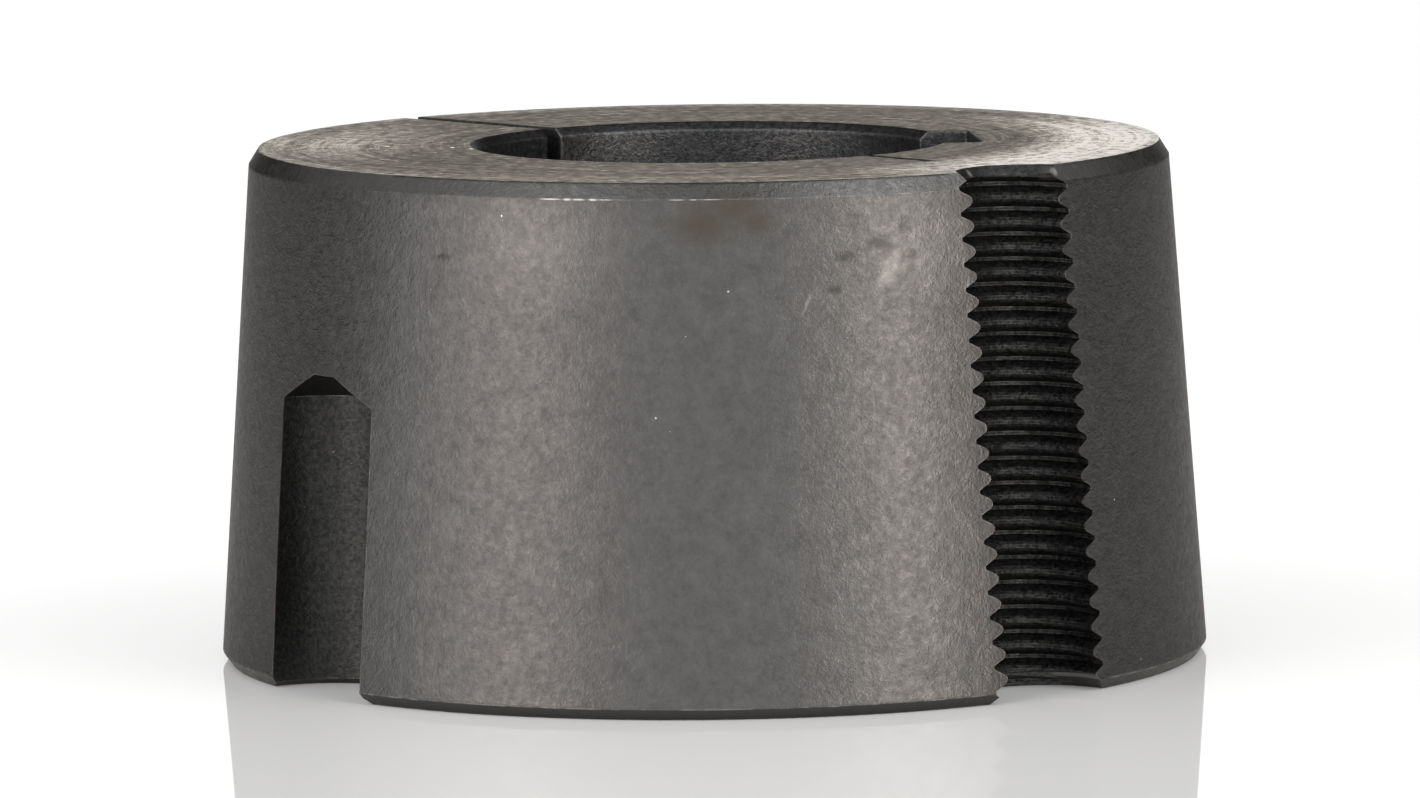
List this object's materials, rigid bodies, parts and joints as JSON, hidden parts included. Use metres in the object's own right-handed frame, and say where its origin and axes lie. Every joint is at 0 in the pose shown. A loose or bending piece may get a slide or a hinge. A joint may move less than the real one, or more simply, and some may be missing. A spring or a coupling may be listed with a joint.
{
  "type": "taper bush",
  "caption": "Split tapered ring that grips a keyed shaft inside a hub, with half-round plain and threaded notches for its screws.",
  "frame": {"origin": "centre of the large end's face, on the bore's axis", "axes": "+Z along the bore towards the small end; +X through the middle of the keyway"},
  "size_m": [0.0856, 0.0856, 0.0444],
  "materials": {
    "phosphated_iron": "machined, dark phosphate coat"
  },
  "bodies": {
    "root": {"taper_bush": "phosphated_iron"}
  },
  "joints": []
}
